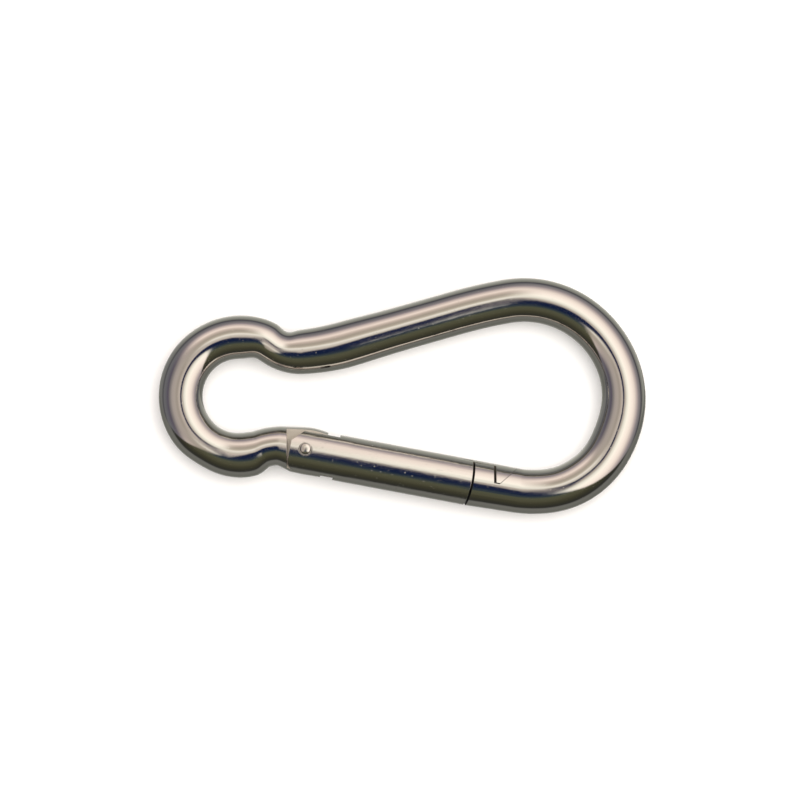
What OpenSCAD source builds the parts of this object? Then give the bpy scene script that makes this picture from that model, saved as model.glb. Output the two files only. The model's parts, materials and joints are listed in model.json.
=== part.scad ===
// Pear-shaped carbine hook of round bar, with a spring-loaded gate that opens inward.
// It lies flat: +X runs from the small eye to the wide bow, the gate is on the -Y side, +Z is up,
// and the origin is under the middle of its outline, on the surface that it lies on.

/* [Bar] */
// Diameter of the polished round bar
bar_d = 10.8; // [10.6:0.1:11]
// Centreline radius of the small eye
eye_r = 14.5; // [14:0.1:15]
// Centreline radius of the bow next to the plain leg
bow_top_r = 24.7; // [24:0.1:25.5]
// Centreline radius of the bow's end
bow_end_r = 24; // [23.5:0.1:24.5]
// Centreline radius of the heel that leads into the nose
heel_r = 21.9; // [21:0.1:22.5]
// Centreline radius of the neck beside the pivot
pivot_neck_r = 12.5; // [12:0.1:14]
// Centreline radius of the neck beside the plain leg
leg_neck_r = 15.9; // [15:0.1:17]

/* [Gate] */
// Diameter of the gate
gate_d = 11.3; // [11.2:0.1:11.4]
// Distance from the pin to the end of the gate's round part
gate_reach = 40.95; // [40.5:0.05:41.5]
// Gap between the gate's end and the nose
nose_gap = 0.45; // [0.3:0.05:0.6]
// Angle at which the gate falls toward the bow
gate_slope = 10.6; // [10.4:0.1:10.8]

/* [Pivot] */
// Diameter of the rivet's shank
rivet_d = 3; // [2.8:0.1:3.2]
// How far the pin sits from the gate's axis, toward the inside of the hook
pin_offset = 0.8; // [0.6:0.1:1]
// Thickness of the bar's flat tongue
tongue_t = 4.8; // [4.4:0.1:5]
// Distance from the pin to the flat end of the tongue
tongue_end = 4.7; // [4.6:0.1:5]
// Distance from the pin back to the shoulder behind the tongue
shoulder = 4.6; // [4.5:0.1:4.9]
// Play on each side of the tongue, and on each side of the latch's neck
play = 0.1; // [0.08:0.01:0.12]
// Radial running clearance of the rivet in the tongue
pin_clearance = 0.05; // [0.03:0.01:0.08]

/* [Latch] */
// Depth of the latch, from the gate's inner side
latch_depth = 4.4; // [4.2:0.1:4.6]
// Thickness of the neck that carries the latch head
neck_t = 4; // [3.6:0.1:4.2]
// Distance from the pin to the back face of the latch head
head_reach = 47.5; // [47.2:0.1:47.8]
// Width of the latch head's narrow foot
head_foot = 0.95; // [0.8:0.05:1.1]
// Angle of the latch head's sloping face
head_slope = 51; // [49:1:53]
// Gap between the latch head and the lip that holds it
latch_gap = 0.55; // [0.45:0.05:0.65]

/* [Spring and plunger] */
// Diameter of the bore in the gate
bore_d = 6.4; // [6.2:0.1:6.6]
// Distance from the pin to the end of the bore
bore_end = 34; // [32:0.5:35]
// Wire diameter of the spring
wire_d = 0.9; // [0.7:0.1:0.9]
// Outside diameter of the spring
spring_d = 5.8; // [5.6:0.1:5.9]
// Number of working coils
coils = 13; // [11:1:14]
// Length of the plunger's head
plunger_head = 4; // [3.5:0.1:4.5]
// Length of the plunger's stem
plunger_stem = 9; // [6:0.5:12]

/* [Hidden] */
$fn = 96;
bar_r = bar_d / 2;
gate_r = gate_d / 2;
bore_r = bore_d / 2;
rivet_r = rivet_d / 2;

// Turns of the bends in degrees, and the two gentle bends of the plain leg
pivot_straight = 8.9;
pivot_neck_turn = 31.7;
eye_turn = 229.4;
leg_neck_turn = 33.5;
leg_root_r = 60;
leg_root_turn = 10.6;
shoulder_r = 144;
shoulder_turn = 5.5;
bow_top_turn = 73.8;
bow_end_turn = 60.9;
heel_turn = 360 + pivot_neck_turn + leg_neck_turn + leg_root_turn
    - eye_turn - shoulder_turn - bow_top_turn - bow_end_turn;

// The bar's centreline round the pin at [0, 0], from the tongue clockwise to the nose. Each run is
// [radius, turn], with a turn to the left positive, or [0, length] for a straight.
along = [cos(gate_slope), -sin(gate_slope)];
inward = [sin(gate_slope), cos(gate_slope)];
start = concat(tongue_end * along - pin_offset * inward, [180 - gate_slope]);
function route(leg_length) = [
    [0, pivot_straight],
    [pivot_neck_r, pivot_neck_turn],
    [eye_r, -eye_turn],
    [leg_neck_r, leg_neck_turn],
    [leg_root_r, leg_root_turn],
    [0, leg_length],
    [shoulder_r, -shoulder_turn],
    [bow_top_r, -bow_top_turn],
    [bow_end_r, -bow_end_turn],
    [heel_r, -heel_turn]
];
EYE = 2;
LEG = 5;
BOW_TOP = 7;
BOW_END = 8;
HEEL = 9;

ring_proud = 0.005;
ring_length = 0.2;

// Centre of a bend of radius r and turn t that starts at p = [x, y, heading]
function bend_centre(p, r, t) = [p.x - sign(t) * r * sin(p.z), p.y + sign(t) * r * cos(p.z)];
// Where a run that starts at p ends
function run_end(p, run) = run[0] == 0
    ? [p.x + run[1] * cos(p.z), p.y + run[1] * sin(p.z), p.z]
    : let(c = bend_centre(p, run[0], run[1]), s = sign(run[1]) * run[0], h = p.z + run[1])
        [c.x + s * sin(h), c.y - s * cos(h), h];
// Where run number i starts
function run_start(runs, i) = i == 0 ? start : run_end(run_start(runs, i - 1), runs[i - 1]);

// The plain leg is as long as it takes to bring the nose onto the gate's axis
short_of = run_start(route(0), HEEL + 1) - start;
leg_heading = run_start(route(0), LEG).z;
leg_length = -([short_of.x, short_of.y] * inward) / ([cos(leg_heading), sin(leg_heading)] * inward);
runs = route(leg_length);
heel_end = run_start(runs, HEEL + 1);
heel_reach = [heel_end.x, heel_end.y] * along;

// The pin's place, from the bends that reach farthest on each side
function centre_of(i) = bend_centre(run_start(runs, i), runs[i][0], runs[i][1]);
x_min = centre_of(EYE).x - eye_r - bar_r;
x_max = centre_of(BOW_END).x + bow_end_r + bar_r;
y_max = centre_of(BOW_TOP).y + bow_top_r + bar_r;
y_min = centre_of(HEEL).y - heel_r - bar_r;
pin = [-(x_min + x_max) / 2, -(y_min + y_max) / 2, gate_r];

// Latch: heights are measured from the pin toward the inside of the hook
latch_floor = gate_r - pin_offset - latch_depth;
latch_top = gate_r + 1;
floor_gap = 0.2;
seat_gap = 0.05;
// The nose, and the latch head that is flush with it, taper from the gate's size to the bar's
nose_start = gate_reach - 1;
nose_length = heel_reach - nose_start;

// Pivot end of the gate
slot_t = tongue_t + 2 * play;
slot_end = 7.8;
cheek_end = 3.8;
cheek_corner_r = 3.2;
cheek_chamfer_from = 1.5;
rivet_head_r = 1.7;
rivet_sink = 0.6;

// Spring and plunger
face_gap = 0.05;
plunger_r = bore_r - 0.1;
plunger_chamfer = 0.4;
plunger_start = tongue_end + face_gap;
stem_r = 1.7;
spring_start = plunger_start + plunger_head;
spring_length = bore_end - spring_start;
end_turns = 1;
turns = coils + 2 * end_turns;
ring_sides = 8;
rings_per_turn = 20;
coil_r = (spring_d - wire_d) / 2;
coil_pitch = (spring_length - wire_d * (1 + 2 * end_turns)) / coils;
big = 20;

// Children are placed round the pin, with +X along the gate and +Y toward the inside of the hook
module at_pin() {
    translate(pin) rotate([0, 0, -gate_slope]) children();
}

// A rod on the gate's axis from one distance to another
module rod(from, to, r1, r2) {
    translate([from, -pin_offset, 0]) rotate([0, 90, 0]) cylinder(r1 = r1, r2 = r2, h = to - from);
}

// A ring a hair wider than the bar where run number i starts, which makes the runs one solid
module joint_ring(i) {
    p = run_start(runs, i);
    translate([p.x, p.y, 0]) rotate([0, 90, p.z])
        cylinder(r = bar_r + ring_proud, h = ring_length, center = true);
}

// One straight or bend of the bar
module bar_run(p, run) {
    if (run[0] == 0) {
        translate([p.x, p.y, 0]) rotate([0, 90, p.z]) cylinder(r = bar_r, h = run[1]);
    } else {
        from = run[1] > 0 ? p.z - 90 : p.z + 90 + run[1];
        translate(concat(bend_centre(p, run[0], run[1]), [0]))
            rotate([0, 0, from])
                rotate_extrude(angle = abs(run[1])) translate([run[0], 0]) circle(r = bar_r);
    }
}

// A prism of the latch head's outline, with its gaps opened by the amounts given
module latch_prism(back, foot, seat, t) {
    low = latch_floor - foot;
    back_at_floor = head_reach - back;
    lean = tan(gate_slope);
    front_at_floor = head_reach + head_foot + seat / sin(head_slope);
    outline = [
        [back_at_floor + foot * lean, low],
        [front_at_floor - foot / tan(head_slope), low],
        [front_at_floor + (latch_top - latch_floor) / tan(head_slope), latch_top],
        [back_at_floor - (latch_top - latch_floor) * lean, latch_top]
    ];
    translate([0, 0, -t / 2]) linear_extrude(height = t) polygon(outline);
}

// The latch's neck, which reaches from the gate's end into the head
module neck_block(reach, foot, t) {
    low = latch_floor - foot;
    translate([nose_start, low, -t / 2]) cube([reach - nose_start, latch_top - low, t]);
}

// The nose's tapering bar
module nose_bar() {
    rod(nose_start, heel_reach, gate_r, bar_r);
}

module hook_body() {
    color("gainsboro") {
        difference() {
            translate(pin) {
                for (i = [0 : HEEL]) bar_run(run_start(runs, i), runs[i]);
                for (i = [1 : HEEL + 1]) joint_ring(i);
            }
            // The tongue: both sides of the bar's end are milled away down to the shoulder
            for (side = [-1, 1])
                translate([pin.x - shoulder, pin.y - big / 2, pin.z + side * (tongue_t + big) / 2])
                    translate([0, 0, -big / 2]) cube([big, big, big]);
            translate([pin.x, pin.y, 0]) cylinder(r = rivet_r + pin_clearance, h = gate_d);
        }
        // The nose, with the slot and the cross pocket that the latch drops into
        at_pin() difference() {
            nose_bar();
            translate([0, 0, -big / 2]) cylinder(r = gate_reach + nose_gap, h = big);
            neck_block(head_reach, floor_gap, neck_t + 2 * play);
            latch_prism(latch_gap, floor_gap, seat_gap, big);
        }
    }
}

module gate() {
    color("silver") at_pin() {
        difference() {
            intersection() {
                rod(-cheek_end, gate_reach + 1, gate_r, gate_r);
                translate([0, 0, -big / 2]) cylinder(r = gate_reach, h = big);
            }
            // The fork that straddles the tongue, and the bore for the spring
            translate([-big, -big / 2, -slot_t / 2]) cube([big + slot_end, big, slot_t]);
            rod(-cheek_end - 1, bore_end, bore_r, bore_r);
            // The round outer corner of the cheeks, and their chamfered inner corner
            translate([-cheek_end, -pin_offset - gate_r, -big / 2]) difference() {
                translate([-1, -1, 0]) cube([cheek_corner_r + 1, cheek_corner_r + 1, big]);
                translate([cheek_corner_r, cheek_corner_r, 0]) cylinder(r = cheek_corner_r, h = big);
            }
            translate([-cheek_end, cheek_chamfer_from, -big / 2])
                rotate([0, 0, 45]) translate([-big / 2, 0, 0]) cube([big, big / 2, big]);
            cylinder(r = rivet_r, h = big, center = true);
            for (side = [0, 1])
                mirror([0, 0, side]) translate([0, 0, gate_r - rivet_sink])
                    cylinder(r1 = rivet_r, r2 = rivet_head_r, h = rivet_sink);
        }
        intersection() {
            nose_bar();
            union() {
                difference() {
                    neck_block(head_reach, 0, neck_t);
                    translate([0, 0, -big / 2]) cylinder(r = gate_reach - 1, h = big);
                }
                latch_prism(0, 0, 0, big);
            }
        }
    }
}

// The rivet turns with the gate and runs in the tongue. Its ends are peened into shallow sinks.
module hinge_rivet() {
    color("lightgray") at_pin() intersection() {
        sphere(r = gate_r - 0.03);
        union() {
            cylinder(r = rivet_r, h = gate_d, center = true);
            for (side = [0, 1])
                mirror([0, 0, side]) translate([0, 0, gate_r - rivet_sink])
                    cylinder(r1 = rivet_r, r2 = rivet_head_r, h = rivet_sink);
        }
    }
}

// Distance of the wire's middle along the spring after t turns: close-wound ends, open coils between
function wire_at(t) = wire_d * (0.5 + min(t, end_turns) + max(t - turns + end_turns, 0))
    + coil_pitch * min(max(t - end_turns, 0), coils);
// One ring of points round the wire after t turns
function wire_ring(t) = [for (k = [0 : ring_sides - 1])
    let(a = 360 * k / ring_sides, r = coil_r + wire_d / 2 * cos(a))
        [wire_at(t) + wire_d / 2 * sin(a), r * cos(360 * t), r * sin(360 * t)]];

module gate_spring() {
    rings = turns * rings_per_turn;
    points = [for (i = [0 : rings], p = wire_ring(i / rings_per_turn)) p];
    sides = [for (i = [0 : rings - 1], k = [0 : ring_sides - 1])
        let(a = i * ring_sides, b = a + ring_sides, n = (k + 1) % ring_sides)
            [a + k, b + k, b + n, a + n]];
    first = [for (k = [0 : ring_sides - 1]) k];
    last = [for (k = [ring_sides - 1 : -1 : 0]) rings * ring_sides + k];
    color("darkgray") at_pin() translate([spring_start, -pin_offset, 0])
        polyhedron(points = points, faces = concat(sides, [first, last]), convexity = 10);
}

// The spring pushes the plunger's head against the flat end of the tongue
module spring_plunger() {
    body_start = plunger_start + plunger_chamfer;
    color("darkgray") at_pin() {
        rod(plunger_start, body_start, plunger_r - plunger_chamfer, plunger_r);
        rod(body_start, spring_start, plunger_r, plunger_r);
        rod(spring_start - 1, spring_start + plunger_stem, stem_r, stem_r);
    }
}

hook_body();
gate();
hinge_rivet();
gate_spring();
spring_plunger();
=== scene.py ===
"""A pear-shaped carbine hook of polished stainless bar, with its sprung gate, on a studio table.

Every piece is shaped on a bench in millimetres, with the hinge pin at the origin, +X along the
gate toward the nose, +Y toward the inside of the hook and +Z up, and is then settled in the frame.
"""

import json
import math

import bmesh
import bpy
from bpy.props import FloatProperty, FloatVectorProperty, IntProperty, PointerProperty
from mathutils import Matrix, Vector
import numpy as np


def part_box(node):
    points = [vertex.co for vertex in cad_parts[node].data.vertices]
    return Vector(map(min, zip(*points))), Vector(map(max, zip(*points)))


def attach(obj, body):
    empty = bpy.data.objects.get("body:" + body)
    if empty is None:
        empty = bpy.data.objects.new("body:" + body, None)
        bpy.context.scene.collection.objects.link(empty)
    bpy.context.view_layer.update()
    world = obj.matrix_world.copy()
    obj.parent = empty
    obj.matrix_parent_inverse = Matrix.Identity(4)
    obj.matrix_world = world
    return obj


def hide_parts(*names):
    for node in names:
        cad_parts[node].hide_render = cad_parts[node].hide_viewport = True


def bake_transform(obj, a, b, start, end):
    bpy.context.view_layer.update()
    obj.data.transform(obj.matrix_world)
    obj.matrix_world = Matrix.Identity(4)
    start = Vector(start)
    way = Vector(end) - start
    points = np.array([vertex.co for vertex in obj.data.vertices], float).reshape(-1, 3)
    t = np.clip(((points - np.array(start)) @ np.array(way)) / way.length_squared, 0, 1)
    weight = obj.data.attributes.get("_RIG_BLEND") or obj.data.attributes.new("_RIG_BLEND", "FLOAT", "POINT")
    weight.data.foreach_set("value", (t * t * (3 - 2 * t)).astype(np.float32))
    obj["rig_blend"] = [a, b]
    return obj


bl_info = {
    "name": "Carbine Hook",
    "version": (1, 0, 0),
    "blender": (4, 5, 0),
    "location": "View3D > Sidebar > Hook",
    "description": "Builds a pear-shaped carbine hook, its gate and the studio table it lies on",
    "category": "Object",
}

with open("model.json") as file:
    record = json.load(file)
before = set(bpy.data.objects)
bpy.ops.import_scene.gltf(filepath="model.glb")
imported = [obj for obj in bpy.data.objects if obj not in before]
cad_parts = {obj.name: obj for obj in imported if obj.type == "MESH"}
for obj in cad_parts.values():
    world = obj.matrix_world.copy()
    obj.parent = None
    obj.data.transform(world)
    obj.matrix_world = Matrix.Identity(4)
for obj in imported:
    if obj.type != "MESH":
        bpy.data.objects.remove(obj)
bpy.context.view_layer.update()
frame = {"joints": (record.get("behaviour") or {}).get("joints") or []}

JOINTS = {joint["name"]: joint for joint in frame["joints"]}
PIN = Vector(JOINTS["gate_hinge"]["pos_m"])
ALONG = Vector(JOINTS["plunger_slide"]["axis"]).normalized()
UP = Vector((0, 0, 1))
INWARD = UP.cross(ALONG)
GATE_SLOPE = -math.degrees(math.atan2(ALONG.y, ALONG.x))
MM = 0.001
BENCH_AXES = Matrix((ALONG, INWARD, UP)).transposed().to_4x4()
BENCH_TO_FRAME = Matrix.Translation(PIN) @ BENCH_AXES @ Matrix.Scale(MM, 4)
GATE_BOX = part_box("gate")
GATE_R = (GATE_BOX[1].z - GATE_BOX[0].z) / 2 / MM

# The bar's centreline from the tongue's end clockwise round to the nose: a bend is (radius, turn),
# with a turn to the left positive, and a straight is (0, length)
TONGUE_END = 4.7
PIN_OFFSET = 0.8
NOSE_START = 39.95
TONGUE_STRAIGHT = (0, 8.9)
NECKS_AND_EYE = ((12.5, 31.7), (14.5, -229.4), (15.9, 33.5), (60, 10.6))
BOW = ((144, -5.5), (24.7, -73.8), (24, -60.9))
HEEL_R = 21.9
# Between these two distances the bar has no rings, because the shoulder is cut there
SHOULDER_FROM = 7.6
SHOULDER_TO = 10.9

# Where bending and polishing left the bar thicker or thinner than its nominal round: the place is
# the distance along the bar from the tongue's end, and the changes are to its outer and inner sides
BAR_CHANGES = (
    # place, reach, sharpness, outer, inner
    (3.8, 4.0, 2, 0.15, 0.70),     # the pressed tongue spreads sideways
    (13.4, 3.4, 4, -1.10, -0.20),  # the neck beside the pivot is pinched
    (20.5, 3.0, 2, 0.15, 0.10),
    (29.0, 3.5, 2, -0.35, -0.10),  # a flat spot low on the eye
    (43.0, 9.0, 2, -0.02, 0.00),   # the eye's end keeps inside the nominal size
    (60.0, 8.0, 2, -0.15, -0.10),
    (73.0, 3.6, 2, 0.10, -1.05),   # the neck beside the leg is pinched inside
    (77.8, 2.8, 2, -0.80, -0.20),  # and creased outside
    (93.0, 9.0, 2, 0.30, 0.35),    # the leg swells just past the neck
    (130.0, 7.0, 2, 0.05, -0.05),
    (164.0, 14.0, 2, -0.30, -0.05),
    (186.0, 8.0, 2, -0.20, 0.50),
    (201.0, 6.0, 2, 0.05, 0.15),
    (213.0, 6.0, 2, -0.25, 0.30),
    (228.0, 7.0, 2, 0.35, 0.25),   # the nose grows to the gate's size
)

# The pivot: the bar's flat tongue sits in a fork in the gate, with a rivet through both
SHOULDER = -4.6
TONGUE_HALF = 2.4
TONGUE_HOLE_R = 1.55
CHEEK_END = -3.8
CORNER_R = 3.2
CHAMFER_TOP = 1.5
FORK_HALF = 2.5
FORK_DEPTH = 7.8
RIVET_R = 1.5
SINK_R = 1.74
SINK_FLOOR = 5.05

# The gate's bore holds a spring and the plunger that it pushes against the tongue
BORE_R = 3.2
BORE_END = 34
PLUNGER_FRONT = 4.75
PLUNGER_BACK = 8.75
STEM_R = 1.7
STEM_END = 17.75

# The latch: a T-shaped head on a flat neck, in a slot of the same shape in the nose
LATCH_FLOOR = 0.45
LATCH_TOP = 6.65
NECK_HALF = 2
HEAD_REACH = 47.5
HEAD_FOOT = 0.95
HEAD_SLOPE = 51
# The gate's end and the nose's face lean, by a share of the height, so no light shows between them
GATE_END_R = 41.04
NOSE_FACE_R = 41.40
GAP_LEAN = 0.08

# How far cutting tools reach past what they cut
TOOL_HALF = 8
BIG = 20


# ---------------------------------------------------------------- bench tools

def run_end(point, heading, run):
    """Where a straight or a bend that starts at point with that heading ends."""
    size, amount = run
    if size == 0:
        turned = math.radians(heading)
        return point + amount * Vector((math.cos(turned), math.sin(turned))), heading
    side = math.copysign(size, amount)
    a, b = math.radians(heading), math.radians(heading + amount)
    step = Vector((math.sin(b) - math.sin(a), math.cos(a) - math.cos(b)))
    return point + side * step, heading + amount


def route():
    """The bar's runs. The plain leg is as long as it takes to bring the nose onto the gate's axis."""
    turned = sum(turn for _, turn in NECKS_AND_EYE + BOW)
    heel = (HEEL_R, -360 - turned)
    start, heading = Vector((TONGUE_END, -PIN_OFFSET)), 180.0
    point, leg_heading = start, heading
    for run in (TONGUE_STRAIGHT,) + NECKS_AND_EYE:
        point, leg_heading = run_end(point, leg_heading, run)
    end, after = point, leg_heading
    for run in BOW + (heel,):
        end, after = run_end(end, after, run)
    leg = (start.y - end.y) / math.sin(math.radians(leg_heading))
    end.x += leg * math.cos(math.radians(leg_heading))
    nose = (0, end.x - NOSE_START)
    return (TONGUE_STRAIGHT,) + NECKS_AND_EYE + ((0, leg),) + BOW + (heel, nose)


def stations(spacing):
    """(distance, point, heading) along the bar. The nose, which is machined, has only its two ends,
    and there are none where the shoulder is cut, so the cutters leave clean edges."""
    point, heading, distance = Vector((TONGUE_END, -PIN_OFFSET)), 180.0, 0.0
    runs = route()
    found = [(distance, point, heading)]
    for run in runs:
        size, amount = run
        length = amount if size == 0 else size * math.radians(abs(amount))
        steps = 1 if run is runs[-1] else math.ceil(length / spacing)
        for i in range(1, steps + 1):
            part = (size, amount * i / steps)
            here, turned = run_end(point, heading, part)
            found.append((distance + length * i / steps, here, turned))
        point, heading = run_end(point, heading, run)
        distance += length
    return [station for station in found if not SHOULDER_FROM < station[0] < SHOULDER_TO]


def bar_place(station, radius):
    """The matrix that lays a unit circle round the bar at a station."""
    distance, point, heading = station
    outer, inner = radius, radius
    for place, reach, sharpness, grow_outer, grow_inner in BAR_CHANGES:
        near = math.exp(-abs((distance - place) / reach) ** sharpness)
        outer += grow_outer * near
        inner += grow_inner * near
    turned = math.radians(heading)
    ahead = Vector((math.cos(turned), math.sin(turned), 0))
    side = Vector((-ahead.y, ahead.x, 0))
    middle = point.to_3d() + side * (outer - inner) / 2
    height = min(GATE_R, radius + 0.4 * max(0.0, (outer + inner) / 2 - radius))
    across = Matrix((side * (outer + inner) / 2, UP * height, ahead)).transposed().to_4x4()
    return Matrix.Translation(middle) @ across


def rod_place(distance, radius, side=-PIN_OFFSET):
    """The matrix that lays a unit circle round the gate's axis at a distance from the pin."""
    turn = Matrix((Vector((0, radius, 0)), UP * radius, Vector((1, 0, 0)))).transposed().to_4x4()
    return Matrix.Translation((distance, side, 0)) @ turn


def sweep(places, sides, radius=1.0, distances=None):
    """A closed bmesh rod through rings at the places given. Two UV maps hold its own measure in
    millimetres: ring goes round it, and run along it."""
    bm = bmesh.new()
    ring_at = bm.verts.layers.float_vector.new("ring_at")
    run_at = bm.verts.layers.float.new("run_at")
    distances = distances or [place.translation.x for place in places]
    ring = bmesh.ops.create_circle(bm, segments=sides, radius=1)["verts"]
    for vert in ring:
        vert[ring_at] = vert.co * radius
        vert[run_at] = distances[0]
    bmesh.ops.transform(bm, matrix=places[0], verts=ring)
    first = list({edge for vert in ring for edge in vert.link_edges})
    edges = first
    for last, here, distance in zip(places, places[1:], distances[1:]):
        grown = bmesh.ops.extrude_edge_only(bm, edges=edges)["geom"]
        verts = {item for item in grown if isinstance(item, bmesh.types.BMVert)}
        bmesh.ops.transform(bm, matrix=here @ last.inverted(), verts=list(verts))
        for vert in verts:
            vert[run_at] = distance
        edges = [item for item in grown if isinstance(item, bmesh.types.BMEdge)
                 and verts.issuperset(item.verts)]
    bmesh.ops.holes_fill(bm, edges=first + edges, sides=0)
    bmesh.ops.recalc_face_normals(bm, faces=bm.faces)
    ring_map, run_map = bm.loops.layers.uv.new("ring"), bm.loops.layers.uv.new("run")
    for face in bm.faces:
        for loop in face.loops:
            loop[ring_map].uv = loop.vert[ring_at].xy
            loop[run_map].uv = (loop.vert[run_at], 0)
    bm.verts.layers.float_vector.remove(ring_at)
    bm.verts.layers.float.remove(bm.verts.layers.float["run_at"])
    return bm


def turned_rod(profile, sides):
    """A closed bmesh turned on the Z axis from (radius, height) points that start and end on it."""
    bm = bmesh.new()
    verts = [bm.verts.new((radius, 0, height)) for radius, height in profile]
    edges = [bm.edges.new(pair) for pair in zip(verts, verts[1:])]
    bmesh.ops.spin(bm, geom=verts + edges, cent=(0, 0, 0), axis=(0, 0, 1), dvec=(0, 0, 0),
                   angle=math.tau, steps=sides, use_merge=True, use_duplicate=False)
    bmesh.ops.remove_doubles(bm, verts=bm.verts, dist=0.0005)
    bmesh.ops.recalc_face_normals(bm, faces=bm.faces)
    ring_map, run_map = bm.loops.layers.uv.new("ring"), bm.loops.layers.uv.new("run")
    for face in bm.faces:
        for loop in face.loops:
            loop[ring_map].uv = loop.vert.co.xy
            loop[run_map].uv = (loop.vert.co.z, 0)
    return bm


def block(low, high, turn=0.0):
    """A bmesh box between two corners, turned about the Z axis afterwards."""
    bm = bmesh.new()
    low, high = Vector(low), Vector(high)
    size = Matrix.Diagonal(high - low).to_4x4()
    place = Matrix.Translation((low + high) / 2) @ size
    bmesh.ops.create_cube(bm, size=1, matrix=Matrix.Rotation(math.radians(turn), 4, "Z") @ place)
    return bm


def prism(outline, half):
    """A bmesh prism of a flat outline, from -half to +half in height."""
    bm = bmesh.new()
    face = bm.faces.new([bm.verts.new((x, y, -half)) for x, y in outline])
    grown = bmesh.ops.extrude_face_region(bm, geom=[face])["geom"]
    verts = [item for item in grown if isinstance(item, bmesh.types.BMVert)]
    bmesh.ops.translate(bm, vec=(0, 0, 2 * half), verts=verts)
    bmesh.ops.recalc_face_normals(bm, faces=bm.faces)
    return bm


def cone_block(near, far, swing=12, steps=48):
    """A bmesh block that sweeps an arc about the pin, between a leaning face and a plain radius."""
    bm = bmesh.new()
    lean = TOOL_HALF * GAP_LEAN
    outline = [(near - lean, -TOOL_HALF), (near + lean, TOOL_HALF), (far, TOOL_HALF), (far, -TOOL_HALF)]
    face = bm.faces.new([bm.verts.new((radius, 0, z)) for radius, z in outline])
    turn = Matrix.Rotation(math.radians(-swing), 3, "Z")
    bmesh.ops.rotate(bm, cent=(0, 0, 0), matrix=turn, verts=bm.verts)
    bmesh.ops.spin(bm, geom=[face], cent=(0, 0, 0), axis=(0, 0, 1), dvec=(0, 0, 0),
                   angle=math.radians(2 * swing), steps=steps, use_merge=False,
                   use_duplicate=False)
    open_edges = [edge for edge in bm.edges if edge.is_boundary]
    if open_edges:
        bmesh.ops.holes_fill(bm, edges=open_edges, sides=0)
    bmesh.ops.recalc_face_normals(bm, faces=bm.faces)
    return bm


def as_piece(name, bm, *materials):
    """An object in the scene from a bmesh, with its materials."""
    mesh = bpy.data.meshes.new(name)
    bm.to_mesh(mesh)
    bm.free()
    for material in materials:
        mesh.materials.append(material)
    mesh.shade_smooth()
    piece = bpy.data.objects.new(name, mesh)
    bpy.context.scene.collection.objects.link(piece)
    return piece


def apply_modifiers(piece):
    """Turns a piece's modifiers into its mesh."""
    graph = bpy.context.evaluated_depsgraph_get()
    mesh = bpy.data.meshes.new_from_object(piece.evaluated_get(graph))
    piece.modifiers.clear()
    old, piece.data = piece.data, mesh
    bpy.data.meshes.remove(old)


def machine(piece, bm, material, operation="DIFFERENCE"):
    """Cuts, joins or keeps what a bmesh tool covers. The faces it makes take the tool's material."""
    tool = as_piece("tool", bm, material)
    cut = piece.modifiers.new("machine", "BOOLEAN")
    cut.object = tool
    cut.operation = operation
    cut.solver = "EXACT"
    cut.material_mode = "TRANSFER"
    apply_modifiers(piece)
    mesh = tool.data
    bpy.data.objects.remove(tool)
    bpy.data.meshes.remove(mesh)


def on_gap(vert):
    """Whether a point lies on one of the two leaning faces of the gap."""
    radius = vert.co.xy.length - GAP_LEAN * vert.co.z
    return min(abs(radius - GATE_END_R), abs(radius - NOSE_FACE_R)) < 0.03


def break_edges(piece, width, gap_chamfer_width):
    """Merges the slivers that machining leaves, then rounds the sharp edges. Edges on the leaning
    faces of the gap are rounded wider, except by the neck, and take the near-black gap material: painted
    shade that draws the gap as a dark line."""
    bm = bmesh.new()
    bm.from_mesh(piece.data)
    bmesh.ops.remove_doubles(bm, verts=bm.verts, dist=0.02)
    gap = [vert for vert in bm.verts if on_gap(vert)]
    bmesh.ops.remove_doubles(bm, verts=gap, dist=0.1)
    bmesh.ops.dissolve_degenerate(bm, edges=bm.edges, dist=0.005)
    weight = bm.edges.layers.float.new("bevel_weight_edge")
    polished, painted_gap_shade = 0, piece.data.materials.find("painted_gap_shade_steel")
    for edge in bm.edges:
        kinds = {face.material_index for face in edge.link_faces}
        by_neck = any(vert.co.y > 0 and abs(vert.co.z) < NECK_HALF + 0.4 for vert in edge.verts)
        if kinds == {polished, painted_gap_shade} and all(map(on_gap, edge.verts)) and not by_neck:
            edge[weight] = 1.0
    bm.to_mesh(piece.data)
    bm.free()
    piece.data.shade_smooth()
    # The wide gap chamfers take the near-black gap material: painted shade
    for name, limit, size, slot in (("worn", "WEIGHT", gap_chamfer_width, painted_gap_shade),
                                    ("edges", "ANGLE", width, -1)):
        bevel = piece.modifiers.new(name, "BEVEL")
        bevel.width = size
        bevel.segments = 2
        bevel.limit_method = limit
        bevel.angle_limit = math.radians(30)
        bevel.use_clamp_overlap = False
        bevel.material = slot
    # Large faces set the shading, so the narrow rounded edges don't bend their reflections
    normals = piece.modifiers.new("normals", "WEIGHTED_NORMAL")
    normals.mode = "FACE_AREA"
    normals.weight = 80
    apply_modifiers(piece)


def settle(piece, body, node):
    """Moves a piece's mesh from the bench into the frame, and hands it over."""
    piece.data.transform(BENCH_TO_FRAME)
    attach(piece, body)
    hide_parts(node)
    return piece


# ---------------------------------------------------------------- materials

def srgb(code):
    """A linear colour from an sRGB hex code."""
    def linear(value):
        return value / 12.92 if value <= 0.04045 else ((value + 0.055) / 1.055) ** 2.4
    return tuple(linear(int(code[i:i + 2], 16) / 255) for i in (1, 3, 5)) + (1.0,)


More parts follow.
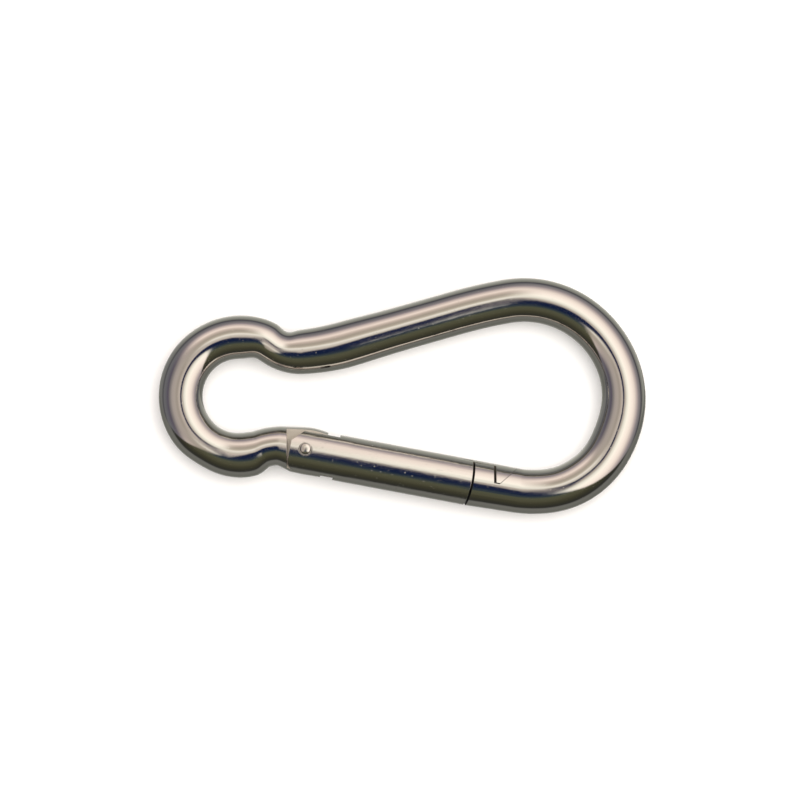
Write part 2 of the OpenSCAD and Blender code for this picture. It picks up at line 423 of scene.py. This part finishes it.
def add(tree, kind, settings=None, links=None):
    """Adds a node. Settings are its properties, or sockets by name or number; stops are its ramp's."""
    node = tree.nodes.new(kind)
    for name, value in (settings or {}).items():
        if name == "stops":
            stops = node.color_ramp.elements
            stops[0].position, stops[0].color = value[0]
            stops[1].position, stops[1].color = value[-1]
            for place, colour in value[1:-1]:
                stops.new(place).color = colour
        elif isinstance(name, str) and hasattr(node, name):
            setattr(node, name, value)
        else:
            node.inputs[name].default_value = value
    for name, source in (links or {}).items():
        tree.links.new(source, node.inputs[name])
    return node


def new_material(name):
    """A new material with an empty node tree."""
    material = bpy.data.materials.new(name)
    material.use_nodes = True
    material.node_tree.nodes.clear()
    return material, material.node_tree


def rod_measure(tree):
    """A rod's own measure in millimetres as a vector: round it in X and Y, and along it in Z."""
    round_map = add(tree, "ShaderNodeUVMap", {"uv_map": "ring"})
    along_map = add(tree, "ShaderNodeUVMap", {"uv_map": "run"})
    ring = add(tree, "ShaderNodeSeparateXYZ", links={0: round_map.outputs[0]})
    run = add(tree, "ShaderNodeSeparateXYZ", links={0: along_map.outputs[0]})
    both = add(tree, "ShaderNodeCombineXYZ",
               links={0: ring.outputs[0], 1: ring.outputs[1], 2: run.outputs[0]})
    return both.outputs[0]


def polished_stainless(name, colour, roughness, wave, scuffs, pitting):
    """Stainless bar, belt-polished along its length and then buffed bright. The eye sees sharp, dark
    and bright reflections with slightly streaked, wavering edges, and a scatter of tiny pits."""
    material, tree = new_material(name)
    measure = rod_measure(tree)
    # Buffing leaves swells of 5 to 10 mm, which make straight reflections waver
    swell = add(tree, "ShaderNodeMapping", {"Scale": (0.16, 0.16, 0.11)}, {"Vector": measure})
    swells = add(tree, "ShaderNodeTexNoise", {"Scale": 1.0, "Detail": 2.0},
                 {"Vector": swell.outputs[0]})
    # Polishing lines run along the bar. Real ones are 0.02 mm wide; these are 0.2 mm, to show
    line = add(tree, "ShaderNodeMapping", {"Scale": (4.5, 4.5, 0.12)}, {"Vector": measure})
    lines = add(tree, "ShaderNodeTexNoise", {"Scale": 1.0, "Detail": 3.0, "Roughness": 0.6},
                {"Vector": line.outputs[0]})
    # Handling marks: scuffs 1 to 3 mm long and 0.3 mm wide, in patches
    nick = add(tree, "ShaderNodeMapping", {"Scale": (2.6, 2.6, 0.5)}, {"Vector": measure})
    nicks = add(tree, "ShaderNodeTexNoise", {"Scale": 1.0, "Detail": 5.0, "Roughness": 0.65},
                {"Vector": nick.outputs[0]})
    worn = add(tree, "ShaderNodeTexNoise", {"Scale": 0.14, "Detail": 2.0}, {"Vector": measure})
    # Pits are 0.1 to 0.25 mm across, and gather in patches
    cell = add(tree, "ShaderNodeMapping", {"Scale": (1.2, 1.2, 0.9)}, {"Vector": measure})
    pits = add(tree, "ShaderNodeTexVoronoi", {"Scale": 1.0}, {"Vector": cell.outputs[0]})
    hole = add(tree, "ShaderNodeMapRange",
               {"From Min": 0.02, "From Max": 0.13, "To Min": 1.0, "To Max": 0.0},
               {"Value": pits.outputs["Distance"]})
    patch = add(tree, "ShaderNodeMapRange", {"From Min": 0.38, "From Max": 0.52},
                {"Value": worn.outputs[0]})
    deep = add(tree, "ShaderNodeMath", {"operation": "MULTIPLY"},
               {0: hole.outputs[0], 1: patch.outputs[0]})
    relief = add(tree, "ShaderNodeBump", {"Distance": wave * MM, "Strength": 1.0},
                 {"Height": swells.outputs[0]})
    relief = add(tree, "ShaderNodeBump", {"Distance": 0.0011 * MM, "Strength": 1.0},
                 {"Height": lines.outputs[0], "Normal": relief.outputs[0]})
    relief = add(tree, "ShaderNodeBump", {"Distance": scuffs * MM, "Strength": 1.0},
                 {"Height": nicks.outputs[0], "Normal": relief.outputs[0]})
    relief = add(tree, "ShaderNodeBump", {"Distance": pitting * MM, "Strength": 1.0, "invert": True},
                 {"Height": deep.outputs[0], "Normal": relief.outputs[0]})
    dull = add(tree, "ShaderNodeMapRange", {"From Min": 0.35, "From Max": 0.75, "To Min": roughness,
                                            "To Max": roughness + 0.07}, {"Value": nicks.outputs[0]})
    shader = add(tree, "ShaderNodeBsdfPrincipled", {"Base Color": colour, "Metallic": 1.0},
                 {"Roughness": dull.outputs[0], "Normal": relief.outputs[0]})
    add(tree, "ShaderNodeOutputMaterial", links={"Surface": shader.outputs[0]})
    return material


def milled_stainless(name, colour, roughness, spacing, depth):
    """Stainless cut by a milling cutter and left as it is: a pale, matte face with fine cutter lines
    that catch the light a little unevenly."""
    material, tree = new_material(name)
    place = add(tree, "ShaderNodeTexCoord").outputs["Object"]
    per_line = 1 / (spacing * MM)
    turned = add(tree, "ShaderNodeMapping", {
        "Rotation": (0, 0, math.radians(38)), "Scale": (per_line, 0.08 * per_line, 0.3 * per_line)},
        {"Vector": place})
    lines = add(tree, "ShaderNodeTexNoise", {"Scale": 1.0, "Detail": 2.0},
                {"Vector": turned.outputs[0]})
    blotch = add(tree, "ShaderNodeTexNoise", {"Scale": 0.7 / MM, "Detail": 3.0}, {"Vector": place})
    shade = add(tree, "ShaderNodeMapRange", {"From Min": 0.3, "From Max": 0.7, "To Min": roughness - 0.06,
                                             "To Max": roughness + 0.06}, {"Value": blotch.outputs[0]})
    relief = add(tree, "ShaderNodeBump", {"Distance": depth * MM, "Strength": 1.0},
                 {"Height": lines.outputs[0]})
    shader = add(tree, "ShaderNodeBsdfPrincipled", {"Base Color": colour, "Metallic": 1.0},
                 {"Roughness": shade.outputs[0], "Normal": relief.outputs[0]})
    add(tree, "ShaderNodeOutputMaterial", links={"Surface": shader.outputs[0]})
    return material


def painted_gap_shade_steel(name, colour):
    """The walls of the narrow latch gaps, bore and fork, painted nearly black as the shade inside them:
    mottled, with a faint uneven sheen."""
    material, tree = new_material(name)
    place = add(tree, "ShaderNodeTexCoord").outputs["Object"]
    smear = add(tree, "ShaderNodeTexNoise", {"Scale": 0.6 / MM, "Detail": 4.0}, {"Vector": place})
    sheen = add(tree, "ShaderNodeMapRange",
                {"From Min": 0.35, "From Max": 0.65, "To Min": 0.32, "To Max": 0.6},
                {"Value": smear.outputs[0]})
    # The mottled near-black tint is painted shade
    tint = add(tree, "ShaderNodeValToRGB", {"stops": [(0.35, colour), (0.7, srgb("#2A2724"))]},
               {"Fac": smear.outputs[0]})
    shader = add(tree, "ShaderNodeBsdfPrincipled", {"Metallic": 0.6},
                 {"Base Color": tint.outputs[0], "Roughness": sheen.outputs[0]})
    add(tree, "ShaderNodeOutputMaterial", links={"Surface": shader.outputs[0]})
    return material


def turned_steel(name, colour, roughness):
    """Steel turned on a lathe, with fine rings round its axis that pull highlights into soft bands."""
    material, tree = new_material(name)
    measure = rod_measure(tree)
    ring = add(tree, "ShaderNodeMapping", {"Scale": (0.2, 0.2, 9.0)}, {"Vector": measure})
    rings = add(tree, "ShaderNodeTexNoise", {"Scale": 1.0, "Detail": 2.0},
                {"Vector": ring.outputs[0]})
    relief = add(tree, "ShaderNodeBump", {"Distance": 0.002 * MM, "Strength": 1.0},
                 {"Height": rings.outputs[0]})
    shader = add(tree, "ShaderNodeBsdfPrincipled",
                 {"Base Color": colour, "Metallic": 1.0, "Roughness": roughness},
                 {"Normal": relief.outputs[0]})
    add(tree, "ShaderNodeOutputMaterial", links={"Surface": shader.outputs[0]})
    return material


def drawn_wire(name, colour, roughness):
    """Cold-drawn stainless spring wire: satin, greyer than the bar, with die lines along the wire."""
    material, tree = new_material(name)
    place = add(tree, "ShaderNodeTexCoord").outputs["Object"]
    grain = add(tree, "ShaderNodeTexNoise", {"Scale": 4 / MM, "Detail": 3.0}, {"Vector": place})
    relief = add(tree, "ShaderNodeBump", {"Distance": 0.002 * MM, "Strength": 1.0},
                 {"Height": grain.outputs[0]})
    worn = add(tree, "ShaderNodeMapRange", {"From Min": 0.3, "From Max": 0.7, "To Min": roughness - 0.05,
                                            "To Max": roughness + 0.08}, {"Value": grain.outputs[0]})
    shader = add(tree, "ShaderNodeBsdfPrincipled", {"Base Color": colour, "Metallic": 1.0},
                 {"Roughness": worn.outputs[0], "Normal": relief.outputs[0]})
    add(tree, "ShaderNodeOutputMaterial", links={"Surface": shader.outputs[0]})
    return material


def finish_named(name):
    """The finish of that name, made once and then shared."""
    finish = bpy.context.scene.hook_finish
    made = {
        "polished_stainless_bar": lambda: polished_stainless(name, finish.bar, 0.05, 0.03, 0.002, 0.012),
        "polished_stainless_gate": lambda: polished_stainless(name, finish.gate, 0.06, 0.02, 0.016, 0.045),
        "milled_stainless": lambda: milled_stainless(name, finish.milled, 0.42, 0.12, 0.009),
        # The latch faces use the milled finish in a dark colour: painted shade
        "painted_latch_shade_stainless": lambda: milled_stainless(name, finish.painted_latch_shade, 0.38, 0.12, 0.009),
        # The near-black gap material is painted shade for the insides of the gaps, bore and fork
        "painted_gap_shade_steel": lambda: painted_gap_shade_steel(name, finish.gap_shade_colour),
        "turned_stainless": lambda: turned_steel(name, finish.turned, 0.22),
        "drawn_spring_wire": lambda: drawn_wire(name, finish.wire, 0.3),
    }
    return bpy.data.materials.get(name) or made[name]()


# ---------------------------------------------------------------- sizes and colours

def finish_colour(name, description, code):
    """A colour that the user may change. Its default comes from an sRGB hex code."""
    return FloatVectorProperty(name=name, description=description, subtype="COLOR", size=4,
                               min=0, max=1, default=srgb(code))


def length(name, description, default):
    """A length in metres that the user may change."""
    return FloatProperty(name=name, description=description, unit="LENGTH", subtype="DISTANCE",
                         precision=5, min=0.00001, default=default)


class HookSizes(bpy.types.PropertyGroup):
    bar_radius: length("Bar radius", "Radius of the round bar", 5.4 * MM)
    ring_spacing: length("Ring spacing", "Distance between rings along the bar", 0.7 * MM)
    edge: length("Edge rounding", "Width of the rounding on machined edges", 0.07 * MM)
    # The gap's wide chamfers take the near-black gap material, as painted shade
    gap_chamfer: length("Worn edge", "Width of the worn edges of the gap", 0.2 * MM)
    sides: IntProperty(name="Sides", description="Points round the bar and the gate", default=128, min=24)


class HookFinish(bpy.types.PropertyGroup):
    bar: finish_colour("Polished bar", "Colour of the polished bar", "#C9C6C1")
    gate: finish_colour("Polished gate", "Colour of the polished gate", "#C9C6C1")
    milled: finish_colour("Milled faces", "Colour of the milled faces", "#D8D2C8")
    # The milled latch faces are darker as painted shade, for the shade in the narrow gap between the latch
    # and the nose's slot
    painted_latch_shade: finish_colour("Oiled faces", "Colour of the milled latch faces, darkened by old oil", "#625D55")
    # The gap walls' near-black colour is painted shade, standing in for the shade inside the narrow gaps,
    # bore and fork
    gap_shade_colour: finish_colour("Greased gaps", "Colour of the dark gap walls", "#0B0C11")
    turned: finish_colour("Turned steel", "Colour of the rivet and the plunger", "#CFCBC5")
    wire: finish_colour("Spring wire", "Colour of the spring", "#A8A6A2")


CLASSES = [HookSizes, HookFinish]


# ---------------------------------------------------------------- pieces

def latch_outline(back, foot, seat):
    """The latch head's outline, with its gaps opened by the amounts given."""
    lean = math.tan(math.radians(GATE_SLOPE))
    steep = math.tan(math.radians(HEAD_SLOPE))
    rise = LATCH_TOP - LATCH_FLOOR
    low = LATCH_FLOOR - foot
    back_x = HEAD_REACH - back
    front_x = HEAD_REACH + HEAD_FOOT + seat / math.sin(math.radians(HEAD_SLOPE))
    return [(back_x + foot * lean, low), (front_x - foot / steep, low),
            (front_x + rise / steep, LATCH_TOP), (back_x - rise * lean, LATCH_TOP)]


def peg(radius, low, high, sides=64, top=None):
    """A bmesh peg on the pin's axis, from one height to another, which may widen toward its top."""
    ends = [Matrix.Translation((0, 0, z)) @ Matrix.Diagonal((r, r, 1, 1))
            for z, r in ((low, radius), (high, top or radius))]
    return sweep(ends, sides, radius)


class HOOK_OT_bar(bpy.types.Operator):
    """Sweeps the bent bar and machines its tongue and its nose"""
    bl_idname = "hook.bar"
    bl_label = "Bent bar"

    def execute(self, context):
        sizes = context.scene.hook_sizes
        polished = finish_named("polished_stainless_bar")
        milled = finish_named("milled_stainless")
        painted_gap_shade = finish_named("painted_gap_shade_steel")
        radius = sizes.bar_radius / MM
        found = stations(sizes.ring_spacing / MM)
        places = [bar_place(station, radius) for station in found]
        bar = as_piece("bent_bar", sweep(places, sizes.sides, radius, [s[0] for s in found]), polished)
        for side in (-1, 1):
            low, high = sorted((side * TONGUE_HALF, side * BIG))
            machine(bar, block((SHOULDER, -BIG / 2, low), (BIG, BIG / 2, high), GATE_SLOPE), milled)
        # The tongue's hole, the nose's face and the latch slot take the near-black gap material: painted
        # shade inside them
        machine(bar, peg(TONGUE_HOLE_R, -TOOL_HALF, TOOL_HALF), painted_gap_shade)
        machine(bar, cone_block(NOSE_FACE_R, 36), painted_gap_shade)
        half = NECK_HALF + 0.1
        slot = block((NOSE_START - 1, LATCH_FLOOR - 0.2, -half), (HEAD_REACH, LATCH_TOP, half))
        machine(bar, slot, painted_gap_shade)
        machine(bar, prism(latch_outline(0.55, 0.2, 0.05), TOOL_HALF), painted_gap_shade)
        break_edges(bar, sizes.edge / MM, sizes.gap_chamfer / MM)
        settle(bar, "hook", "hook_body")
        return {"FINISHED"}


class HOOK_OT_gate(bpy.types.Operator):
    """Turns the gate, forks its pivot end, bores it and adds its latch"""
    bl_idname = "hook.gate"
    bl_label = "Gate"

    def execute(self, context):
        sizes = context.scene.hook_sizes
        polished = finish_named("polished_stainless_gate")
        milled = finish_named("milled_stainless")
        painted_gap_shade = finish_named("painted_gap_shade_steel")
        painted_latch_shade = finish_named("painted_latch_shade_stainless")
        # The latch's head and neck are cut from a rod of the nose's own shape
        nose = stations(sizes.ring_spacing / MM)[-2:][::-1]
        ends = [bar_place(station, sizes.bar_radius / MM) for station in nose]
        along = [station[1].x for station in nose]
        gate = as_piece("gate", sweep(ends, sizes.sides, GATE_R, along), polished)
        # The latch's cut faces take the dark latch colour and the neck's the near-black gap material:
        # painted shade in the gaps round the latch
        head = as_piece("head_shape", prism(latch_outline(0, 0, 0), TOOL_HALF), painted_latch_shade)
        neck = block((NOSE_START, LATCH_FLOOR, -NECK_HALF), (HEAD_REACH + 0.5, LATCH_TOP, NECK_HALF))
        machine(head, neck, painted_gap_shade, "UNION")
        machine(gate, taken(head), painted_latch_shade, "INTERSECT")
        # The rod's rings keep to where nothing is cut
        rings = [rod_place(x, GATE_R) for x in (CHEEK_END, *range(10, 40, 2), NOSE_START + 2)]
        rod = as_piece("gate_rod", sweep(rings, sizes.sides, GATE_R), polished)
        # The gate's end face, and then its fork, bore, rivet holes and sinks, take the near-black gap
        # material: painted shade inside them
        machine(rod, cone_block(GATE_END_R, 48), painted_gap_shade)
        machine(gate, taken(rod), polished, "UNION")
        fork = block((-BIG, -BIG / 2, -FORK_HALF), (FORK_DEPTH, BIG / 2, FORK_HALF))
        machine(gate, fork, painted_gap_shade)
        bore = sweep([rod_place(x, BORE_R) for x in (-6, BORE_END)], 64, BORE_R)
        machine(gate, bore, painted_gap_shade)
        machine(gate, cheek_corner(), milled)
        machine(gate, cheek_chamfer(), milled)
        for side in (-1, 1):
            hole = peg(RIVET_R, side * (FORK_HALF - 0.5), side * (SINK_FLOOR + 0.01))
            machine(gate, hole, painted_gap_shade)
            sink = peg(RIVET_R, side * SINK_FLOOR, side * (GATE_R + 0.1), top=SINK_R)
            machine(gate, sink, painted_gap_shade)
        break_edges(gate, sizes.edge / MM, sizes.gap_chamfer / MM)
        settle(gate, "gate_assembly", "gate")
        return {"FINISHED"}


def taken(piece):
    """The bmesh of a piece that is then removed."""
    bm = bmesh.new()
    bm.from_mesh(piece.data)
    mesh = piece.data
    bpy.data.objects.remove(piece)
    bpy.data.meshes.remove(mesh)
    return bm


def cheek_corner():
    """What is cut away outside the cheeks' round corner: a block with a round bar's bite out of it."""
    x, y, r, steps = CHEEK_END, -PIN_OFFSET - GATE_R, CORNER_R, 16
    angles = [i * math.pi / 2 / steps for i in range(steps + 1)]
    points = [(x - 1, y - 1), (x + r, y - 1)]
    points += [(x + r - r * math.sin(a), y + r - r * math.cos(a)) for a in angles]
    points.append((x - 1, y + r))
    return prism(points, BIG / 2)


def cheek_chamfer():
    """What is cut away above the cheeks' sloping inner corner."""
    x, y = CHEEK_END, CHAMFER_TOP
    return prism([(x - 3, y - 3), (x + 7, y + 7), (x - 3, y + 7)], BIG / 2)


class HOOK_OT_rivet(bpy.types.Operator):
    """Turns the rivet, with a crowned head peened into each sink"""
    bl_idname = "hook.rivet"
    bl_label = "Rivet"

    def execute(self, context):
        crown_r, crown_rise, steps = 1.3, 0.45, 12
        angles = [i * math.pi / 2 / steps for i in range(steps + 1)]
        top = [(crown_r * math.sin(a), GATE_R - crown_rise * (1 - math.cos(a))) for a in angles]
        # A groove and a thin lip lie round the crown, where it was peened into the sink
        lip = ((1.42, 0.52), (1.62, 0.3), (1.6, 0.42), (1.48, 0.62))
        top += [(radius, GATE_R - depth) for radius, depth in lip]
        profile = top + [(radius, -height) for radius, height in reversed(top)]
        bm = turned_rod(profile, 96)
        rivet = as_piece("hinge_rivet_head_and_shank", bm, finish_named("turned_stainless"))
        settle(rivet, "gate_assembly", "hinge_rivet")
        return {"FINISHED"}


class HOOK_OT_spring(bpy.types.Operator):
    """Winds the spring inside the gate's bore"""
    bl_idname = "hook.spring"
    bl_label = "Spring"

    def execute(self, context):
        wire, coil, coils, steps = 0.9, 2.45, 13, 28
        start, end = PLUNGER_BACK, BORE_END
        pitch = (end - start - 3 * wire) / coils
        bm = bmesh.new()
        place = Matrix.Translation((start + wire / 2, -PIN_OFFSET + coil, 0))
        bmesh.ops.create_circle(bm, segments=12, radius=wire / 2, matrix=place)
        first = list(bm.edges)
        edges = first
        for turns, rise in ((1, wire), (coils, pitch), (1, wire)):
            verts = list({vert for edge in edges for vert in edge.verts})
            spun = bmesh.ops.spin(bm, geom=verts + edges, cent=(0, -PIN_OFFSET, 0), axis=(1, 0, 0),
                                  dvec=(rise / steps, 0, 0), angle=math.tau * turns,
                                  steps=steps * turns, use_merge=False, use_duplicate=False)
            edges = [item for item in spun["geom_last"] if isinstance(item, bmesh.types.BMEdge)]
        bmesh.ops.holes_fill(bm, edges=first + edges, sides=0)
        bmesh.ops.recalc_face_normals(bm, faces=bm.faces)
        spring = as_piece("coil_spring", bm, finish_named("drawn_spring_wire"))
        spring.data.transform(BENCH_TO_FRAME)
        bore_end, plunger_end = (BENCH_TO_FRAME @ Vector((x, -PIN_OFFSET, 0)) for x in (end, start))
        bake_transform(spring, "gate_assembly", "plunger", start=bore_end, end=plunger_end)
        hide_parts("gate_spring")
        return {"FINISHED"}


class HOOK_OT_plunger(bpy.types.Operator):
    """Turns the plunger that the spring pushes against the tongue"""
    bl_idname = "hook.plunger"
    bl_label = "Plunger"

    def execute(self, context):
        head_r = BORE_R - 0.1
        profile = [(0, PLUNGER_FRONT), (head_r - 0.6, PLUNGER_FRONT), (head_r - 0.4, PLUNGER_FRONT + 0.05),
                   (head_r - 0.05, PLUNGER_FRONT + 0.4), (head_r, PLUNGER_FRONT + 0.55),
                   (head_r, PLUNGER_BACK - 0.1), (head_r - 0.1, PLUNGER_BACK), (STEM_R, PLUNGER_BACK),
                   (STEM_R, STEM_END - 0.3), (STEM_R - 0.3, STEM_END), (0, STEM_END)]
        bm = turned_rod(profile, 96)
        lay = Matrix.Translation((0, -PIN_OFFSET, 0)) @ Matrix.Rotation(math.pi / 2, 4, "Y")
        bmesh.ops.transform(bm, matrix=lay, verts=bm.verts)
        plunger = as_piece("plunger", bm, finish_named("turned_stainless"))
        settle(plunger, "plunger", "spring_plunger")
        return {"FINISHED"}


CLASSES += [HOOK_OT_bar, HOOK_OT_gate, HOOK_OT_rivet, HOOK_OT_spring, HOOK_OT_plunger]


# ---------------------------------------------------------------- stage

# All in metres, from the middle of the hook
TABLE_R = 1.45
TENT_R = 1.0
LAMP_PLACE = (0.05, 0.1, 1.0)
LAMP_SIZE = 1.5
LAMP_WATTS = 15
VIEW_MIDDLE = (-0.00062, -0.00086)
VIEW_WIDTH = 0.19677
CAMERA_RISE = 1.2


def at_angle(*colours):
    """Ramp stops from (angle from straight up in degrees, sRGB hex code)."""
    return [(angle / 180, srgb(code)) for angle, code in colours]


def light_tent():
    """The tent's glow, by direction: white cloth, a shaded side, and its dark opening."""
    material, tree = new_material("light_tent_cloth")
    place = add(tree, "ShaderNodeTexCoord").outputs["Object"]
    way = add(tree, "ShaderNodeVectorMath", {"operation": "NORMALIZE"}, {0: place})
    parts = add(tree, "ShaderNodeSeparateXYZ", links={0: way.outputs[0]})
    level = add(tree, "ShaderNodeVectorMath", {"operation": "MULTIPLY", 1: (1, 1, 0)}, {0: way.outputs[0]})
    bearing = add(tree, "ShaderNodeVectorMath", {"operation": "NORMALIZE"}, {0: level.outputs[0]})
    east = add(tree, "ShaderNodeSeparateXYZ", links={0: bearing.outputs[0]})
    angle = add(tree, "ShaderNodeMath", {"operation": "ARCCOSINE"}, {0: parts.outputs[2]})
    zenith = add(tree, "ShaderNodeMath", {"operation": "DIVIDE", 1: math.pi}, {0: angle.outputs[0]})
    # The tent's cloth in front, where a window lights it, and above the leg, where a seam shades it
    front = add(tree, "ShaderNodeValToRGB", {"stops": at_angle(
        (0, "#A59C94"), (9, "#B4ABA2"), (17, "#E2DFD4"), (28, "#FDF7EC"), (45, "#F8EBE2"),
        (58, "#E6D9D0"), (70, "#BDB0AE"), (82, "#8C8588"), (95, "#6E6C70"), (103, "#3C3C42"),
        (113, "#767672"), (125, "#85867F"), (140, "#94948D"), (155, "#A8A8A1"), (180, "#B4B4AE"))},
        {"Fac": zenith.outputs[0]})
    seamed = add(tree, "ShaderNodeValToRGB", {"stops": at_angle(
        (0, "#B5ABA2"), (10, "#C4BDB3"), (19, "#E6E0D6"), (27, "#AEA598"), (36, "#A0978B"),
        (46, "#B9ABA1"), (58, "#EBDAD0"), (68, "#C9BAB6"), (80, "#837C80"), (95, "#636266"),
        (103, "#3C3C42"), (113, "#767672"), (125, "#8A8B85"), (140, "#9C9C96"), (155, "#B4B4AE"),
        (180, "#BEBEB8"))}, {"Fac": zenith.outputs[0]})
    # The side wall, away from the window, and the dark room seen through the opening
    shaded = add(tree, "ShaderNodeValToRGB", {"stops": at_angle(
        (0, "#C6BDB6"), (8, "#B9AEA6"), (20, "#9A9188"), (33, "#A69D96"), (46, "#9F9692"),
        (58, "#7A7575"), (70, "#544F5C"), (82, "#605F66"), (95, "#66666A"), (104, "#48484C"),
        (115, "#6C6C6B"), (135, "#6E6F6E"), (152, "#858583"), (180, "#969694"))},
        {"Fac": zenith.outputs[0]})
    opening = add(tree, "ShaderNodeValToRGB", {"stops": at_angle(
        (0, "#141D3C"), (18, "#141F3A"), (27, "#2E3840"), (37, "#4E5040"), (50, "#4C4B3B"),
        (65, "#3C3B2E"), (80, "#303029"), (92, "#2E2E2B"), (97, "#60615E"), (106, "#6A6A66"),
        (135, "#5E5F5A"), (152, "#747570"), (180, "#84847F"))}, {"Fac": zenith.outputs[0]})
    smooth = {"interpolation_type": "SMOOTHSTEP"}
    seam = add(tree, "ShaderNodeMapRange", {**smooth, "From Min": 0.3, "From Max": -0.15},
               {"Value": east.outputs[0]})
    side = add(tree, "ShaderNodeMapRange", {**smooth, "From Min": -0.55, "From Max": -0.97},
               {"Value": east.outputs[0]})
    above = add(tree, "ShaderNodeMix", {"data_type": "RGBA"},
                {"Factor": seam.outputs[0], 6: front.outputs[0], 7: seamed.outputs[0]})
    walls = add(tree, "ShaderNodeMix", {"data_type": "RGBA"},
                {"Factor": side.outputs[0], 6: above.outputs[2], 7: shaded.outputs[0]})
    # The opening is a wedge toward -Y, whose point lies just past the top of the tent. Its two edges
    # spread as they fall, by a share of the angle
    apex = add(tree, "ShaderNodeVectorMath", {"operation": "SUBTRACT", 1: (0.015, 0.14, 0)},
               {0: level.outputs[0]})
    apart = add(tree, "ShaderNodeSeparateXYZ", links={0: apex.outputs[0]})
    turned = add(tree, "ShaderNodeMath", {"operation": "ARCTAN2"},
                 {0: apart.outputs[1], 1: apart.outputs[0]})
    distance = add(tree, "ShaderNodeVectorMath", {"operation": "LENGTH"}, {0: apex.outputs[0]})
    fall = add(tree, "ShaderNodeMath", {"operation": "SUBTRACT", 1: math.radians(20)},
               {0: angle.outputs[0]})
    fallen = add(tree, "ShaderNodeMath", {"operation": "MAXIMUM", 1: 0.0}, {0: fall.outputs[0]})
    sides = []
    for start, spread, way_out in ((282, 0.6, 1), (247, -0.5, -1)):
        edge = add(tree, "ShaderNodeMath", {"operation": "MULTIPLY_ADD", 1: spread, 2: math.radians(start)},
                   {0: fallen.outputs[0]})
        past = add(tree, "ShaderNodeMath", {"operation": "SUBTRACT"},
                   {0: turned.outputs[0], 1: edge.outputs[0]})
        across = add(tree, "ShaderNodeMath", {"operation": "SINE"}, {0: past.outputs[0]})
        reach = add(tree, "ShaderNodeMath", {"operation": "MULTIPLY"},
                    {0: across.outputs[0], 1: distance.outputs["Value"]})
        sides.append(add(tree, "ShaderNodeMapRange",
                         {**smooth, "From Min": way_out * -0.02, "From Max": way_out * 0.06},
                         {"Value": reach.outputs[0]}))
    beside = add(tree, "ShaderNodeMath", {"operation": "MAXIMUM"},
                 {0: sides[0].outputs[0], 1: sides[1].outputs[0]})
    glow = add(tree, "ShaderNodeMix", {"data_type": "RGBA"},
               {"Factor": beside.outputs[0], 6: opening.outputs[0], 7: walls.outputs[2]})
    light = add(tree, "ShaderNodeEmission", {"Strength": 1.75}, {"Color": glow.outputs[2]})
    add(tree, "ShaderNodeOutputMaterial", links={"Surface": light.outputs[0]})
    material.cycles.emission_sampling = "NONE"
    return material


class HOOK_OT_stage(bpy.types.Operator):
    """Lays the table, hangs the light tent and the lamp, and sets up the camera"""
    bl_idname = "hook.stage"
    bl_label = "Stage"

    def execute(self, context):
        scene = context.scene
        bm = bmesh.new()
        bmesh.ops.create_circle(bm, cap_ends=True, segments=96, radius=TABLE_R)
        material, tree = new_material("matt_white_table")
        shader = add(tree, "ShaderNodeBsdfDiffuse", {"Color": srgb("#F8F8F8")})
        add(tree, "ShaderNodeOutputMaterial", links={"Surface": shader.outputs[0]})
        table = as_piece("table", bm, material)
        # The hook's edges mirror the tent's grey lower half, and not the white table
        table.visible_glossy = False
        bm = bmesh.new()
        bmesh.ops.create_uvsphere(bm, u_segments=64, v_segments=32, radius=TENT_R)
        tent = as_piece("light_tent", bm, light_tent())
        tent.visible_camera = False
        tent.visible_shadow = False
        lamp = bpy.data.objects.new("soft_lamp", bpy.data.lights.new("soft_lamp", "AREA"))
        lamp.data.shape = "DISK"
        lamp.data.size = LAMP_SIZE
        lamp.data.energy = LAMP_WATTS
        lamp.location = LAMP_PLACE
        lamp.rotation_euler = (-Vector(lamp.location)).to_track_quat("-Z", "Y").to_euler()
        lamp.visible_glossy = False
        scene.collection.objects.link(lamp)
        world = bpy.data.worlds.new("studio")
        world.use_nodes = True
        world.node_tree.nodes["Background"].inputs["Color"].default_value = srgb("#F2F2F2")
        scene.world = world
        camera = bpy.data.objects.new("camera", bpy.data.cameras.new("camera"))
        scene.collection.objects.link(camera)
        camera.location = (*VIEW_MIDDLE, PIN.z + CAMERA_RISE)
        camera.data.lens = camera.data.sensor_width * CAMERA_RISE / VIEW_WIDTH
        camera.data.clip_end = 10
        scene.camera = camera
        scene.view_settings.view_transform = "Standard"
        return {"FINISHED"}


CLASSES += [HOOK_OT_stage]


class HOOK_PT_panel(bpy.types.Panel):
    """Lists the hook's pieces and its stage"""
    bl_label = "Carbine hook"
    bl_idname = "HOOK_PT_panel"
    bl_space_type = "VIEW_3D"
    bl_region_type = "UI"
    bl_category = "Hook"

    def draw(self, context):
        for group in (context.scene.hook_sizes, context.scene.hook_finish):
            for name in group.__annotations__:
                self.layout.prop(group, name)
        for kind in CLASSES:
            if issubclass(kind, bpy.types.Operator):
                self.layout.operator(kind.bl_idname)


CLASSES += [HOOK_PT_panel]


def register():
    for kind in CLASSES:
        bpy.utils.register_class(kind)
    bpy.types.Scene.hook_sizes = PointerProperty(type=HookSizes)
    bpy.types.Scene.hook_finish = PointerProperty(type=HookFinish)


def unregister():
    del bpy.types.Scene.hook_finish
    del bpy.types.Scene.hook_sizes
    for kind in reversed(CLASSES):
        bpy.utils.unregister_class(kind)


def main():
    register()
    for make in (bpy.ops.hook.bar, bpy.ops.hook.gate, bpy.ops.hook.rivet, bpy.ops.hook.spring,
                 bpy.ops.hook.plunger, bpy.ops.hook.stage):
        make()


if __name__ == "__main__":
    main()
